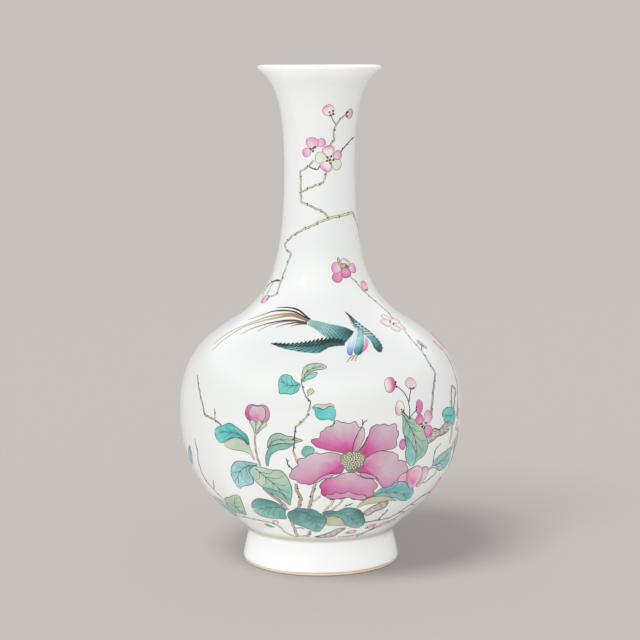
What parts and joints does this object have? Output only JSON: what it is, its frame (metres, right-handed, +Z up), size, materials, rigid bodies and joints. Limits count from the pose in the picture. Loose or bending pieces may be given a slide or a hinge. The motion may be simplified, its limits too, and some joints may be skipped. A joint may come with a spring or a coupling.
{
  "type": "bottle vase",
  "caption": "Tall porcelain bottle vase with a round belly, slender neck, flared mouth and foot ring, painted with flowers and a bird, for cut stems or display.",
  "frame": {"origin": "centre of the foot rim on the surface that the vase stands on", "axes": "+Z up along the axis of the pot; -Y towards the main painted side"},
  "size_m": [0.2208, 0.2208, 0.3896],
  "materials": {
    "glazed_porcelain": "clear glossy glaze over white porcelain",
    "foot_porcelain": "glossy glaze, with a bare unglazed rim at the table",
    "luting_slip": "fired porcelain slip under the glaze"
  },
  "bodies": {
    "root": {"foot_ring": "foot_porcelain", "foot_slip_joint": "luting_slip", "bowl": "glazed_porcelain", "girth_slip_joint": "luting_slip", "shoulder": "glazed_porcelain", "neck_root_slip_joint": "luting_slip", "neck": "glazed_porcelain", "neck_slip_joint": "luting_slip", "mouth": "glazed_porcelain"}
  },
  "joints": []
}
